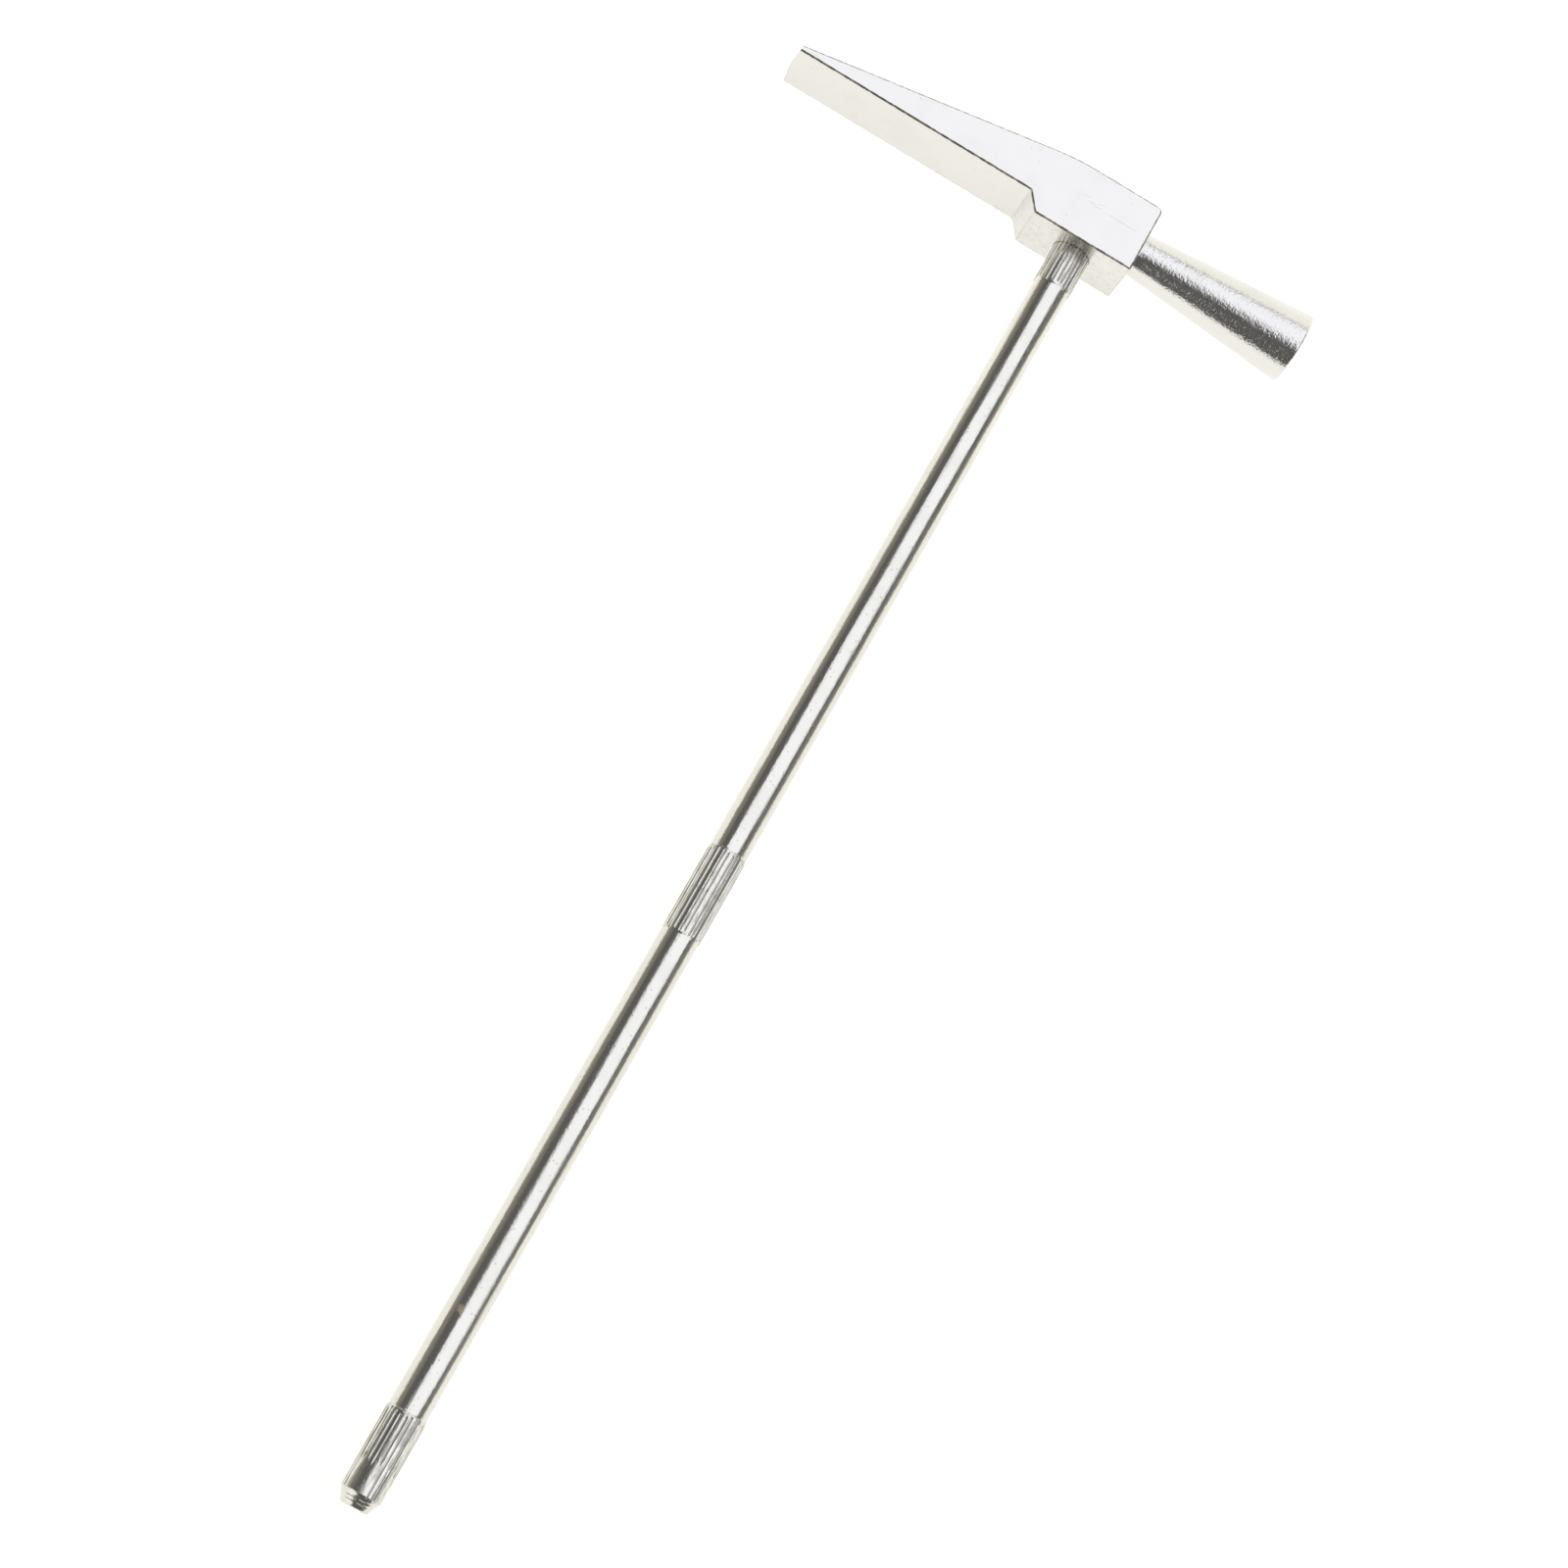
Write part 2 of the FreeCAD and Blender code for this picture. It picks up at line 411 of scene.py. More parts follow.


# %% [markdown]
# ## The light that the metal sees
# Bright plating has next to no look of its own: it shows the room. So the room comes before the finishes.
# There is one wide soft light overhead, a white wall behind the head, a pale floor, and dim walls
# at the other sides. The soft light's edges give the rods their two dark bands, and the floor gives
# them the pale strips at their edges. The soft light isn't a rectangle: its outline was shaped
# until the bands changed their width along the handle as they do on a real one. The floor glows
# a little less away from the head, and a white board in one corner brightens the butt's taper.

# %% Cards that glow
def glowing(name, colour, strength, albedo=0.0, fade=None):
    """A plain card's material. It glows, and with an albedo it also takes light and shade.

    Fade, as (near_y, far_y, share), lets the glow fall to that share of itself from near_y to far_y."""
    material = bpy.data.materials.new(name)
    material.use_nodes = True
    material.node_tree.nodes.clear()
    graph = Graph(material.node_tree)
    glow = (*colour, 1)
    if fade:
        near_y, far_y, share = fade
        y = graph.parts(graph.add("ShaderNodeTexCoord", output="Object"))[1]
        near = graph.smooth_step(y, far_y, near_y)
        inputs = {"Factor": near, "A": (*[share * part for part in colour], 1), "B": glow}
        glow = graph.add("ShaderNodeMix", {"data_type": "RGBA"}, inputs, "Result")
    shader = graph.add("ShaderNodeBsdfPrincipled", None, {
        "Base Color": (albedo, albedo, albedo, 1),
        "Roughness": 1.0,
        "Specular IOR Level": 0.0,
        "Emission Color": glow,
        "Emission Strength": strength,
    })
    graph.surface(shader)
    return material


def card(name, corners, material):
    """A flat card from its corners, in order."""
    mesh = bpy.data.meshes.new(name)
    mesh.from_pydata([Vector(corner) for corner in corners], [], [tuple(range(len(corners)))])
    mesh.materials.append(material)
    piece = bpy.data.objects.new(name, mesh)
    bpy.context.scene.collection.objects.link(piece)
    return piece


# %% Floor, soft light, walls
floor_z = -0.02 * MM
floor_reach = 6
floor_card = glowing("floor_card", (1.0, 0.99, 0.962), 0.93, 0.35, (-12 * MM, -40 * MM, 0.93))
around = [(-1, -1), (1, -1), (1, 1), (-1, 1)]
card("floor", [(floor_reach * x, floor_reach * y, floor_z) for x, y in around], floor_card)

light_height = 1.0
soft_light_outline = [
    (-0.20, 1.15), (-0.30, 0.55), (-0.45, 0.38), (-0.46, 0.28), (-0.36, 0.12), (-0.20, -0.06),
    (0.0, -0.30), (0.12, -0.49), (1.5, -0.49), (1.9, -0.10), (1.80, 0.02), (1.53, 0.10),
    (1.33, 0.24), (1.19, 0.42), (1.14, 0.68), (1.10, 1.15),
]
soft_light_card = glowing("soft_light_card", (0.915, 0.934, 1.0), 1.265)
card("soft_light", [(x, y, light_height) for x, y in soft_light_outline], soft_light_card)


def wall(name, start, end, low, high, material):
    """An upright card from start to end, given as (x, y), between two heights."""
    card(name, [(*start, low), (*end, low), (*end, high), (*start, high)], material)


wall_card = glowing("wall_card", (1.0, 0.99, 0.96), 1.1)
warm_card = glowing("warm_card", (1.0, 0.93, 0.72), 0.29)
dim_card = glowing("dim_card", (1.0, 0.97, 0.92), 0.22)
wall("back_wall", (-2, 1.6), (2, 1.6), 0, 1.2, wall_card)
wall("left_wall_low", (-1.6, -2), (-1.6, 1.6), 0, 0.45, warm_card)
wall("left_wall_high", (-1.6, -2), (-1.6, 1.6), 0.45, 1.0, dim_card)
wall("right_wall", (2.4, -2), (2.4, 1.6), 0, 1.0, dim_card)

fill_card = glowing("fill_card", (1.0, 1.0, 1.0), 1.15)
fill_corners = [(-0.41, -1.17, 0), (-1.15, -0.6, 0), (-1.15, -0.6, 1), (-0.38, -1.05, 0.85)]
card("corner_fill", fill_corners, fill_card)

# %% The dim room beyond
world = bpy.data.worlds.new("dim room")
world.use_nodes = True
world.node_tree.nodes.clear()
room = Graph(world.node_tree)
dim = room.add("ShaderNodeBackground", None, {"Color": (1.0, 0.99, 0.97, 1), "Strength": 0.12})
pale = room.add("ShaderNodeBackground", None, {"Color": (1, 1, 1, 1), "Strength": 1.0})
seen = room.add("ShaderNodeLightPath", None, None, "Is Camera Ray")
room.surface(room.add("ShaderNodeMixShader", None, {0: seen, 1: dim, 2: pale}), "ShaderNodeOutputWorld")
bpy.context.scene.world = world

# %% [markdown]
# ## Bright plating
# The head and the rods are nickel plated over smooth steel: slightly warm, nearly a mirror. What shows
# that the metal is real is what breaks the mirror: turning marks round the poll, hair scratches on the
# block, specks on the rods, and dull grooves in the knurls. Heights go to a Bump node,
# and the same masks make those places a little rougher and darker. The dark brown in the knurls'
# grooves and along the head's rounded edges is painted shade.

# %% Finish: a material built on Object coordinates
class Finish(Graph):
    """A metal finish. Patterns are laid on Object coordinates, in metres."""

    def __init__(self, name):
        self.material = bpy.data.materials.new(name)
        self.material.use_nodes = True
        self.material.node_tree.nodes.clear()
        super().__init__(self.material.node_tree)
        self.place = self.add("ShaderNodeTexCoord", output="Object")
        self.x, self.y, self.z = self.parts(self.place)

    def noise(self, scale, detail=2.0, stretch=(1, 1, 1)):
        """Soft noise around 0.5. Scale is in patches a metre."""
        where = self.add("ShaderNodeMapping", None, {"Vector": self.place, "Scale": stretch})
        return self.add("ShaderNodeTexNoise", None, {"Vector": where, "Scale": scale, "Detail": detail})

    def attribute(self, name):
        """A number that the piece's faces carry."""
        return self.add("ShaderNodeAttribute", {"attribute_name": name}, None, "Fac")

    def mix(self, factor, first, second):
        """From the first colour to the second."""
        inputs = {"Factor": factor, "A": first, "B": second}
        return self.add("ShaderNodeMix", {"data_type": "RGBA"}, inputs, "Result")

    def scratch(self, start, end, width):
        """A straight scratch on a level face, from start to end as (x, y)."""
        start, end = Vector(start), Vector(end)
        along = (end - start).normalized()
        across = (self.x - start.x) * -along.y + (self.y - start.y) * along.x
        run = (self.x - start.x) * along.x + (self.y - start.y) * along.y
        past_start = self.smooth_step(run, 0, width * 3)
        before_end = 1 - self.smooth_step(run, (end - start).length - width * 8, (end - start).length)
        return (1 - self.smooth_step(across.math("ABSOLUTE"), 0, width)) * past_start * before_end

    def spot(self, centre, radius):
        """A round soft-edged spot."""
        points = {0: self.place, 1: centre}
        away = self.add("ShaderNodeVectorMath", {"operation": "DISTANCE"}, points, "Value")
        return 1 - self.smooth_step(away, radius * 0.3, radius)

    def specks(self, cells, size, share):
        """Scattered specks: one in some of the cells of a random pattern."""
        where = {"Vector": self.place, "Scale": cells}
        distance = self.add("ShaderNodeTexVoronoi", None, where, "Distance")
        colour = self.add("ShaderNodeTexVoronoi", None, where, "Color")
        chance = self.add("ShaderNodeSeparateColor", None, {0: colour}, 0)
        kept = chance.math("LESS_THAN", share)
        return (1 - self.smooth_step(distance, size * 0.3, size)) * kept

    def metal(self, colour, roughness, height, relief, bare=1.0):
        """Join colour, roughness and height as polished metal. Relief is what a height of 1 stands for.

        Where bare is below 1, something that is not metal covers it."""
        heights = {"Strength": 1.0, "Distance": relief, "Height": height}
        bump = self.add("ShaderNodeBump", None, heights, "Normal")
        shader = self.add("ShaderNodeBsdfPrincipled", None, {
            "Base Color": colour,
            "Metallic": bare,
            "Roughness": roughness,
            "Normal": bump,
        })
        self.surface(shader)
        return self.material


nickel = (0.775, 0.76, 0.725, 1)
warm_nickel = (0.785, 0.768, 0.705, 1)
nickel_dull = (0.69, 0.67, 0.61, 1)
# Dark brown: real grime in specks, scratches and dirt, and painted shade on the head's rounded edges and in
# the knurls' grooves.
grime_and_shade = (0.16, 0.13, 0.10, 1)

# %% [markdown]
# ### The head's plating
# One bar, two surfaces: the block and peen were ground flat and buffed along X, and the poll was turned.
# So the height is buffing haze on the block and rings round the axis on the poll, with a mask at the
# block's end. A few scratches lie where the block meets other tools in a drawer.

# %% Plating of the head
def plate_head():
    finish = Finish("head_plating_nickel")
    on_poll = finish.smooth_step(finish.x, block_poll_side, block_poll_side + 0.1 * MM)
    rings = finish.noise(3600, 4.0, (1, 0.65, 0.65)) * 1.4 + finish.noise(7000, 1.0, (1, 0.7, 0.7)) * 0.8
    haze = finish.noise(900, 3.0, (0.45, 1, 1))
    orange_peel = finish.noise(2600, 2.0)
    hairs = finish.noise(5200, 1.0, (0.06, 1, 0.5)).math("POWER", 6) * 3
    scratches = [
        ((0.9, 0.12), (4.9, 0.11), 0.045),
        ((-1.5, 0.30), (-0.2, 0.42), 0.04),
        ((-0.9, 0.05), (0.5, 0.30), 0.04),
        ((-0.3, 0.62), (0.6, 0.80), 0.035),
        ((-2.0, 0.75), (-1.1, 0.72), 0.03),
    ]
    marks = 0
    for start, end, width in scratches:
        marks = marks + finish.scratch([v * MM for v in start], [v * MM for v in end], width * MM)
    marks = marks * finish.smooth_step(finish.z, bar - 0.1 * MM, bar)
    block_height = haze * 0.3 + orange_peel * 0.05 - hairs * 0.06 - marks * 0.2
    height = block_height * (1 - on_poll) + rings * on_poll
    specks = finish.specks(1500, 0.16, 0.12)
    patchy = finish.smooth_step(finish.noise(260, 4.0), 0.45, 0.8)
    # Painted shade: the rounded edges are darkened in uneven patches, standing in for the dark lines a
    # bright metal's rounds show.
    edge_shade_patches = 0.3 + 0.7 * finish.smooth_step(finish.noise(1900, 3.0), 0.35, 0.6)
    edges = finish.attribute("rounded_edge") * edge_shade_patches
    under = finish.attribute("handle_side")
    blotches = finish.smooth_step(finish.noise(1700, 3.0), 0.42, 0.72) * under
    colour = finish.mix(patchy * 0.35 + blotches * 0.6, nickel, nickel_dull)
    # Towards dark brown: painted shade on the rounded edges, real grime in the specks and the scratches.
    colour = finish.mix(edges * 0.8 + specks * 0.3 + marks * 0.18, colour, grime_and_shade)
    roughness = 0.11 + patchy * 0.05 + marks * 0.1 + under * 0.12 + blotches * 0.1
    return finish.metal(colour, roughness, height - specks * 0.1, 0.03 * MM)


head_finish = plate_head()
print("head finish:", len(head_finish.node_tree.nodes), "nodes")

# %% [markdown]
# ### The rods' plating
# The rods were drawn bright before plating, so they are smoother than the head, with faint lines along
# them, tiny specks, and one brown spot where the plating has let rust through. In the knurls' grooves
# the plating is thin and dull, which the roughness shows, and their darker colour is painted shade.
# On the crests hands have left dirt. Both masks come from a point's distance to the axis: grooves are
# below the rod's surface, crests above it. The taper at the butt is below it too, so the groove mask stops
# there.

# %% Plating of the rods
def plate_rods():
    finish = Finish("rod_plating_nickel")
    up = finish.z - axis_z
    radius = (finish.x * finish.x + up * up).math("SQRT")
    in_groove = 1 - finish.smooth_step(radius, rod_radius - 0.08 * MM, rod_radius - 0.005 * MM)
    taper_top_y = butt_y + butt_taper_length
    in_groove = in_groove * finish.smooth_step(finish.y, taper_top_y, taper_top_y + 0.02 * MM)
    on_crest = finish.smooth_step(radius, rod_radius + 0.01 * MM, rod_radius + 0.04 * MM)
    drawn = finish.noise(4200, 1.0, (1, 0.03, 1))
    pitted = finish.noise(6500, 2.0, (1, 0.4, 1))
    ripple = finish.noise(420, 2.0, (1, 0.35, 1))
    specks = finish.specks(2300, 0.26, 0.25)
    dirt = finish.smooth_step(finish.noise(2400, 3.0, (1, 0.3, 1)), 0.4, 0.7) * on_crest
    rust = finish.spot((-0.64 * MM, -131.0 * MM, 5.9 * MM), 0.52 * MM) * finish.smooth_step(
        finish.noise(5000, 2.0), 0.3, 0.6)
    patchy = finish.smooth_step(finish.noise(300, 4.0), 0.35, 0.8)
    colour = finish.mix(patchy * 0.4, warm_nickel, nickel_dull)
    # Towards dark brown: painted shade in the knurls' grooves, real grime in the specks and the dirt on the
    # crests.
    colour = finish.mix(in_groove * 0.4 + specks * 0.4 + dirt * 0.4, colour, grime_and_shade)
    colour = finish.mix(rust, colour, (0.46, 0.33, 0.09, 1))
    roughness = 0.16 + patchy * 0.06 + in_groove * 0.2 + specks * 0.2 + dirt * 0.15 + rust * 0.4
    height = drawn * 0.5 + pitted * 0.55 + ripple * 0.6 - specks * 0.3
    return finish.metal(colour, roughness, height, 0.02 * MM, 1 - rust)


rod_finish = plate_rods()
print("rod finish:", len(rod_finish.node_tree.nodes), "nodes")

# %% [markdown]
# ### The stud's steel
# The stud is plain turned steel: greyer and duller than the plating, with the threading tool's fine lines,
# and painted shade in the roots of the thread.

# %% Finish of the stud
def dull_steel():
    finish = Finish("stud_steel_oiled")
    up = finish.z - axis_z
    radius = (finish.x * finish.x + up * up).math("SQRT")
    thread_root_shade = 1 - finish.smooth_step(radius, thread_radius - thread_depth, thread_radius - 0.08 * MM)
    tool_lines = finish.noise(9000, 1.0, (0.1, 1, 0.1))
    stains = finish.smooth_step(finish.noise(700, 3.0), 0.4, 0.7)
    colour = finish.mix(stains * 0.5, (0.42, 0.41, 0.40, 1), (0.30, 0.28, 0.26, 1))
    # Painted shade: the roots of the thread are darkened nearly to black.
    colour = finish.mix(thread_root_shade * 0.75, colour, (0.06, 0.05, 0.045, 1))
    roughness = 0.3 + stains * 0.12 + tool_lines * 0.1
    return finish.metal(colour, roughness, tool_lines, 0.004 * MM)


stud_finish = dull_steel()
print("stud finish:", len(stud_finish.node_tree.nodes), "nodes")

# %% [markdown]
# ## The head
# The head was machined from one square bar, so it starts as one outline, extruded through the bar's
# width. Its edges are broken a little, as a buffing wheel leaves them: without that small round no edge
# would catch the light. The poll was turned on the bar's end, so it comes from the turning tree,
# and is joined to the block as one closed mesh. Last, the same tree makes the drill for the bore.

# %% Outline corners
def round_corners(corners, steps=8):
    """Points of an outline from (along, out, round) corners. A rounded corner becomes a short arc."""
    points = []
    for i, (along, out, radius) in enumerate(corners):
        here = Vector((along, out))
        if not radius:
            points.append(here)
            continue
        before = (Vector(corners[i - 1][:2]) - here).normalized()
        after = (Vector(corners[(i + 1) % len(corners)][:2]) - here).normalized()
        half = before.angle(after) / 2
        centre = here + (before + after).normalized() * radius / math.sin(half)
        spoke = here + before * radius / math.tan(half) - centre
        sweep = math.copysign(math.pi - 2 * half, before.cross(after))
        for step in range(steps + 1):
            turned = spoke.copy()
            turned.rotate(Matrix.Rotation(-sweep * step / steps, 2))
            points.append(centre + turned)
    return points


# %% Block and peen
def extrude_outline(name, corners, depth, edge_size=0.0):
    """A solid from an outline's 3D corners, pushed along depth. An edge size rounds its sharp edges."""
    least_angle = math.radians(25)
    shape = bmesh.new()
    side = shape.faces.new([shape.verts.new(corner) for corner in corners])
    extruded = bmesh.ops.extrude_face_region(shape, geom=[side])["geom"]
    pushed = [item for item in extruded if isinstance(item, bmesh.types.BMVert)]
    bmesh.ops.translate(shape, verts=pushed, vec=depth)
    bmesh.ops.recalc_face_normals(shape, faces=shape.faces)
    if edge_size:
        sharp = [edge for edge in shape.edges if edge.calc_face_angle() > least_angle]
        bmesh.ops.bevel(shape, geom=sharp, offset=edge_size, segments=4, profile=0.5, affect="EDGES")
    mesh = bpy.data.meshes.new(name)
    shape.to_mesh(mesh)
    shape.free()
    mesh.materials.append(head_finish)
    piece = bpy.data.objects.new(name, mesh)
    bpy.context.scene.collection.objects.link(piece)
    return piece


peen_underside_y = underside_y + shoulder_rise
block_outline = round_corners([
    (-block_peen_side - shoulder_run, peen_underside_y, 0),
    (-block_peen_side, underside_y, 0),
    (block_poll_side, underside_y, 0),
    (block_poll_side, top_y, top_corner_radius),
    (-crest_from_axis, top_y, crest_radius),
    (head_low.x, peen_underside_y + peen_edge_thickness, peen_nose_radius),
    (head_low.x, peen_underside_y, peen_nose_radius),
])
head = extrude_outline("head", [(x, y, 0) for x, y in block_outline], (0, 0, bar), edge_round)
print("block and peen:", len(head.data.polygons), "faces")

# %% The peen's edge, ground slightly convex
def crown_waste():
    """What the grinding wheel takes off the peen's edge: more at the upper side than at the lower."""
    outer_x = head_low.x - bar / 2
    heights = even_rows(-bar / 4, bar * 1.25, 0.25 * MM)
    corners = [(outer_x, -bar, heights[0])]
    for z in heights:
        fall = peen_crown_radius - math.sqrt(peen_crown_radius ** 2 - (z - peen_crown_height) ** 2)
        corners.append((head_low.x + fall, -bar, z))
    corners.append((outer_x, -bar, heights[-1]))
    return extrude_outline("crown_waste", corners, (0, 2 * bar, 0))


# %% Poll, bore and join
def turn_piece(name, outline, axis_point, axis_direction, segments, material):
    """Turn an outline of (along, out) points round an axis, with out measured upwards from it."""
    direction = Vector(axis_direction)
    points = [direction * along + Vector((0, 0, axis_z + out)) for along, out in outline]
    piece = outline_object(name, points)
    run_tree(piece, turn_outline, Segments=segments, Axis_Point=axis_point, Axis_Direction=axis_direction,
             Material=material)
    return piece


def join_or_cut(piece, tool, operation):
    """Join a solid to a piece or cut it away, and throw the tool away."""
    modifier = piece.modifiers.new(operation, "BOOLEAN")
    modifier.operation = operation
    modifier.solver = "EXACT"
    modifier.object = tool
    freeze(piece)
    bpy.data.objects.remove(tool)


join_or_cut(head, crown_waste(), "DIFFERENCE")

poll_outline = round_corners([
    (block_poll_side - poll_neck_radius, 0, 0),
    (block_poll_side - poll_neck_radius, poll_neck_radius, 0),
    (block_poll_side, poll_neck_radius, 0),
    (head_high.x, poll_face_radius, poll_edge_radius),
    (head_high.x, 0, 0),
])
axis_centre = (0, 0, axis_z)
poll_segments = 160
poll = freeze(turn_piece("poll", poll_outline, axis_centre, (1, 0, 0), poll_segments, head_finish))
join_or_cut(head, poll, "UNION")

mouth_chamfer = 0.08 * MM
socket_depth = 6.0 * MM
bore_outline = round_corners([
    (underside_y - bar, 0, 0),
    (underside_y - bar, socket_radius + mouth_chamfer, 0),
    (underside_y, socket_radius + mouth_chamfer, 0),
    (underside_y + mouth_chamfer, socket_radius, 0),
    (underside_y + socket_depth, socket_radius, 0),
    (underside_y + socket_depth, 0, 0),
])
bore_segments = 144
drill = freeze(turn_piece("drill", bore_outline, axis_centre, (0, 1, 0), bore_segments, head_finish))
join_or_cut(head, drill, "DIFFERENCE")
face_outwards(head)

# %% [markdown]
# ### Marks for the finish
# The head's rounded edges are darkened as painted shade, standing in for the dark lines that a bright
# metal's rounds show. The faces round the handle are hard to reach with a buffing wheel, so they look
# duller. Faces can carry a number of their own, which a material reads as an attribute. It is
# set here, where the shape is known, instead of guessing places again in the material.

# %% Mark edges and handle side
def mark_faces(piece):
    """Give the block's faces two attributes that the finish reads.

    rounded_edge is 1 on the narrow faces along the side faces' edges, and weaker on the edges across them;
    the finish paints shade there.
    handle_side is 1 on the faces round the bore, which the buffing wheel hardly reaches."""
    shape = bmesh.new()
    shape.from_mesh(piece.data)
    rounded = shape.faces.layers.float.new("rounded_edge")
    handle_side = shape.faces.layers.float.new("handle_side")
    widest_round = 0.12 * MM
    for face in shape.faces:
        centre = face.calc_center_median()
        if centre.x > block_poll_side + 0.01 * MM:
            continue
        width = face.calc_area() / max(edge.calc_length() for edge in face.edges)
        tilted = max(map(abs, face.normal)) < 0.985
        if tilted and width < widest_round:
            # The painted edge shade is strongest on the rounds round the big side faces.
            face[rounded] = 1.0 if abs(face.normal.z) > 0.1 else 0.2
        if face.normal.y < -0.3 and centre.x > -block_peen_side - shoulder_run:
            face[handle_side] = 1.0
    print(piece.name, "rounded edge faces:", sum(face[rounded] > 0 for face in shape.faces))
    shape.to_mesh(piece.data)
    shape.free()


mark_faces(head)

# %% [markdown]
# ## The two rods
# Each rod is one outline: rows of points close together where a knurl begins or runs out, far apart where
# the rod is plain. The knurl first swells the rod, because the wheel pushes metal up, then its grooves
# are rolled in. The bands at the seam have the same seed on both rods, because the wheel was rolled
# over both at once, screwed together, and that is why the lines run straight across the joint.

# %% Rows of a rod
def swell_rows(start, end, swell, lead_start, lead_end, spacing=0.5 * MM):
    """Rows of a knurled band from start down to end. A lead is the length of its slope, or 0 for none."""
    fine = 0.06 * MM
    run_out = 1.1 * MM
    rows = []
    if lead_start:
        rows += even_rows(start, start - run_out, fine)
    else:
        rows.append(start)
    rows += even_rows(rows[-1], end + (run_out if lead_end else 0), spacing)[1:]
    if lead_end:
        rows += even_rows(rows[-1], end, fine)[1:]

    def crest(y):
        first = (start - y) / lead_start if lead_start else 1
        last = (y - end) / lead_end if lead_end else 1
        rise = min(first, last, 1)
        return rod_radius + swell * rise * rise * (3 - 2 * rise)

    return [(y, crest(y)) for y in rows]


def plain_rows(start, end):
    """Rows of the plain rod strictly between two bands."""
    return [(y, rod_radius) for y in even_rows(start, end, 6 * MM)[1:-1]]


def knurl_band(piece, start, end, seed, fade_from=-1.0):
    """Roll one band's grooves, from start down to end. Below fade_from, if it is on the rod, they fade."""
    run_tree(
        piece, roll_knurl,
        Axis_Height=axis_z, Rod_Radius=rod_radius, Start=start, End=end, Flutes=knurl_pitch_count,
        Depth=groove_depth, Width=groove_width, Run_out=groove_end_length, Raggedness=groove_end_length,
        Fade_From=fade_from, Seed=seed, Material=rod_finish,
    )


seam_break = 0.006 * MM
hole_depth = engaged_turns * thread_pitch + hole_end_gap
hole_chamfer = 0.1 * MM
drill_point = 0.5 * MM
band_segments = 288
beyond = 0.05   # metres past the end of a rod, so that the grooves run off it
collar_seed, seam_seed, butt_seed = 11, 23, 37
along_handle = (0, 1, 0)

# %% Upper rod
collar_end_y = underside_y - knurl_width
seam_band_top_y = seam_y + knurl_width
upper_outline = [
    (socket_top_y, 0),
    (socket_top_y, rod_radius - 0.1 * MM),
]
upper_outline += swell_rows(socket_top_y - 0.15 * MM, collar_end_y, end_swell, 0, 0.3 * MM)
upper_outline += plain_rows(collar_end_y, seam_band_top_y)
upper_outline += swell_rows(seam_band_top_y, seam_y + seam_break, seam_swell, 0.3 * MM, 0)
upper_outline += [
    (seam_y, rod_radius + seam_swell - seam_break),
    (seam_y, hole_radius + hole_chamfer),
    (seam_y + hole_chamfer, hole_radius),
    (seam_y + hole_depth, hole_radius),
    (seam_y + hole_depth + drill_point, 0),
]
upper_rod = turn_piece("upper_rod", upper_outline, axis_centre, along_handle, band_segments, rod_finish)
knurl_band(upper_rod, beyond, collar_end_y, collar_seed)
knurl_band(upper_rod, seam_band_top_y, seam_y - beyond, seam_seed)
face_outwards(freeze(upper_rod))

# %% [markdown]
# ## The butt
# The butt end of the lower rod was turned down after knurling: that cut the last grooves off at a crisp
# edge, and left a short taper with two fine tool rings, ending in a small round and a flat.

# %% Lower rod
def butt_rows():
    """The taper with its rings, then the round and the flat of the end."""
    shoulder_y = butt_y + butt_taper_length
    end_round = 0.25 * MM
    ring_depth = 0.035 * MM
    ring_half_width = 0.09
    steps = 31
    rows = []
    for i in range(1, steps):
        share = i / steps
        radius = rod_radius + (butt_end_radius - rod_radius) * share
        for ring in butt_ring_places:
            closeness = max(0, 1 - abs(share - ring) / ring_half_width)
            radius -= ring_depth * closeness * closeness * (3 - 2 * closeness)
        if shoulder_y - butt_taper_length * share > butt_y + end_round:
            rows.append((shoulder_y - butt_taper_length * share, radius))
    last_y, last_radius = rows[-1]
    corners = [(last_y, last_radius, 0), (butt_y, butt_end_radius, end_round), (butt_y, 0, 0)]
    return rows + [tuple(point) for point in round_corners(corners)[1:]]


seam_band_end_y = seam_y - knurl_width
butt_band_end_y = butt_y + butt_taper_length
butt_band_top_y = butt_band_end_y + butt_knurl_length
lower_outline = [
    (seam_y - hole_depth - drill_point, 0),
    (seam_y - hole_depth, hole_radius),
    (seam_y - hole_chamfer, hole_radius),
    (seam_y, hole_radius + hole_chamfer),
    (seam_y, rod_radius + seam_swell - seam_break),
]
lower_outline += swell_rows(seam_y - seam_break, seam_band_end_y, seam_swell, 0, 0.3 * MM)
lower_outline += plain_rows(seam_band_end_y, butt_band_top_y)
lower_outline += swell_rows(butt_band_top_y, butt_band_end_y + 0.12 * MM, end_swell, 0.3 * MM, 0, 0.2 * MM)
lower_outline += [(butt_band_end_y, rod_radius)] + butt_rows()
lower_rod = turn_piece("lower_rod", lower_outline, axis_centre, along_handle, band_segments, rod_finish)
knurl_band(lower_rod, seam_y + beyond, seam_band_end_y, seam_seed)
knurl_band(lower_rod, butt_band_top_y, butt_y - beyond, butt_seed, butt_y + 5.1 * MM)
face_outwards(freeze(lower_rod))

# %% [markdown]
# ## The stud
# A short stud joins the rods, half of it in each. It is hidden until the lower rod is unscrewed, and then
# half of its thread shows, so it gets a real one.

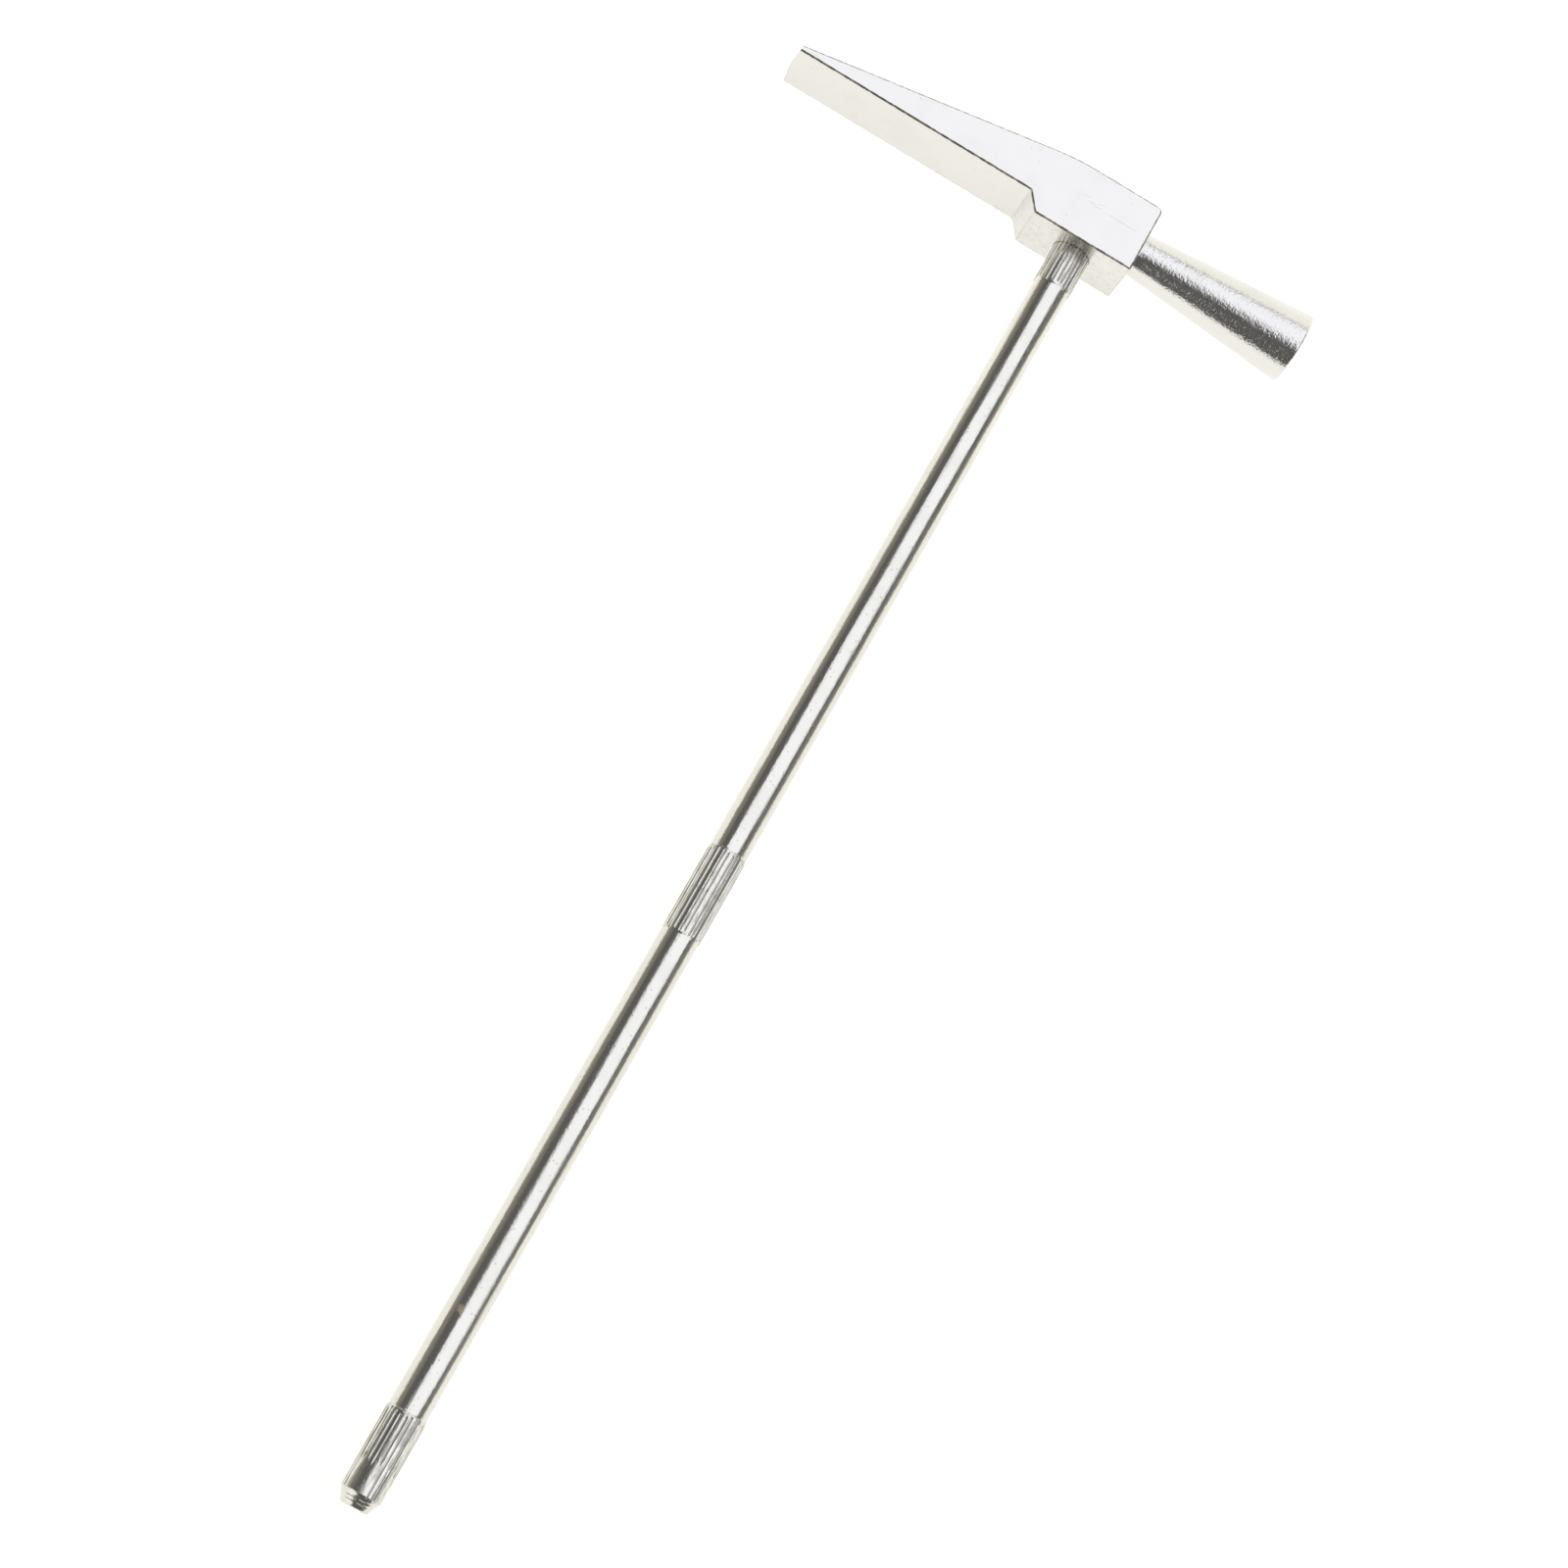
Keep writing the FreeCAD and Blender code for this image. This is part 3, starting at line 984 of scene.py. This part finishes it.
# %% Stud
point = 0.3 * MM
rows_per_thread = 14
stud_rows = even_rows(stud_high.y - point, stud_low.y + point, thread_pitch / rows_per_thread)
stud_outline = [(stud_high.y, 0), (stud_high.y, thread_radius - point)]
stud_outline += [(y, thread_radius) for y in stud_rows]
stud_outline += [(stud_low.y, thread_radius - point), (stud_low.y, 0)]
stud_segments = 96
stud = turn_piece("stud", stud_outline, axis_centre, along_handle, stud_segments, stud_finish)
run_tree(stud, cut_thread, Axis_Height=axis_z, Outer_Radius=thread_radius, Pitch=thread_pitch,
         Depth=thread_depth, Material=stud_finish)
face_outwards(freeze(stud))

# %% [markdown]
# ## Crisp corners, smooth rounds
# Smooth shading would smear the light over a sharp corner. On the head, edges that turn more than
# 40 degrees are marked sharp, and weighted normals keep the wide flats flat right up to their rounds.
# On the turned pieces only the edges that run round the axis can be sharp, at shoulders and ends. The edges
# along it belong to grooves, which stay smooth.

# %% Shading
head_limit = 40
turned_limit = 30


def shade(piece, limit, only_rings):
    """Smooth faces, and sharp edges where the surface turns more than limit, in degrees."""
    mesh = piece.data
    shape = bmesh.new()
    shape.from_mesh(mesh)
    for face in shape.faces:
        face.smooth = True
    for edge in shape.edges:
        ring = abs(edge.verts[0].co.y - edge.verts[1].co.y) < 0.0001 * MM
        edge.smooth = edge.calc_face_angle(0) < math.radians(limit) or (only_rings and not ring)
    shape.to_mesh(mesh)
    shape.free()


shade(head, head_limit, False)
weighted = head.modifiers.new("flats stay flat", "WEIGHTED_NORMAL")
weighted.keep_sharp = True
for piece in (upper_rod, lower_rod, stud):
    shade(piece, turned_limit, True)

# %% [markdown]
# ## Every piece on its body
# Each finished piece rides with the body of the node that it replaces, so the lower rod turns and
# travels as the model says.

# %% Ride and replace
for piece, node, body, slot in (
    (head, "hammer_head", "head_and_upper_handle", "head_plating"),
    (upper_rod, "upper_handle", "head_and_upper_handle", "rod_plating"),
    (lower_rod, "lower_handle", "lower_rod", "rod_plating"),
    (stud, "joint_stud", "stud", "stud_steel"),
):
    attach(piece, body)
    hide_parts(node)

# %% [markdown]
# ## The camera
# It looks down at the hammer from the butt's side, a little to the left, with a short telephoto lens.

# %% Camera
eye = bpy.data.cameras.new("camera")
eye.sensor_width = 36
eye.lens = 71.96
eye.clip_start = 0.01
camera = bpy.data.objects.new("camera", eye)
bpy.context.scene.collection.objects.link(camera)
camera.location = (-14.657 * MM, -157.216 * MM, 304.187 * MM)
camera.rotation_euler = [math.radians(turn) for turn in (12.603, -10.606, 28.981)]
bpy.context.scene.camera = camera
bpy.context.scene.view_settings.view_transform = "Standard"
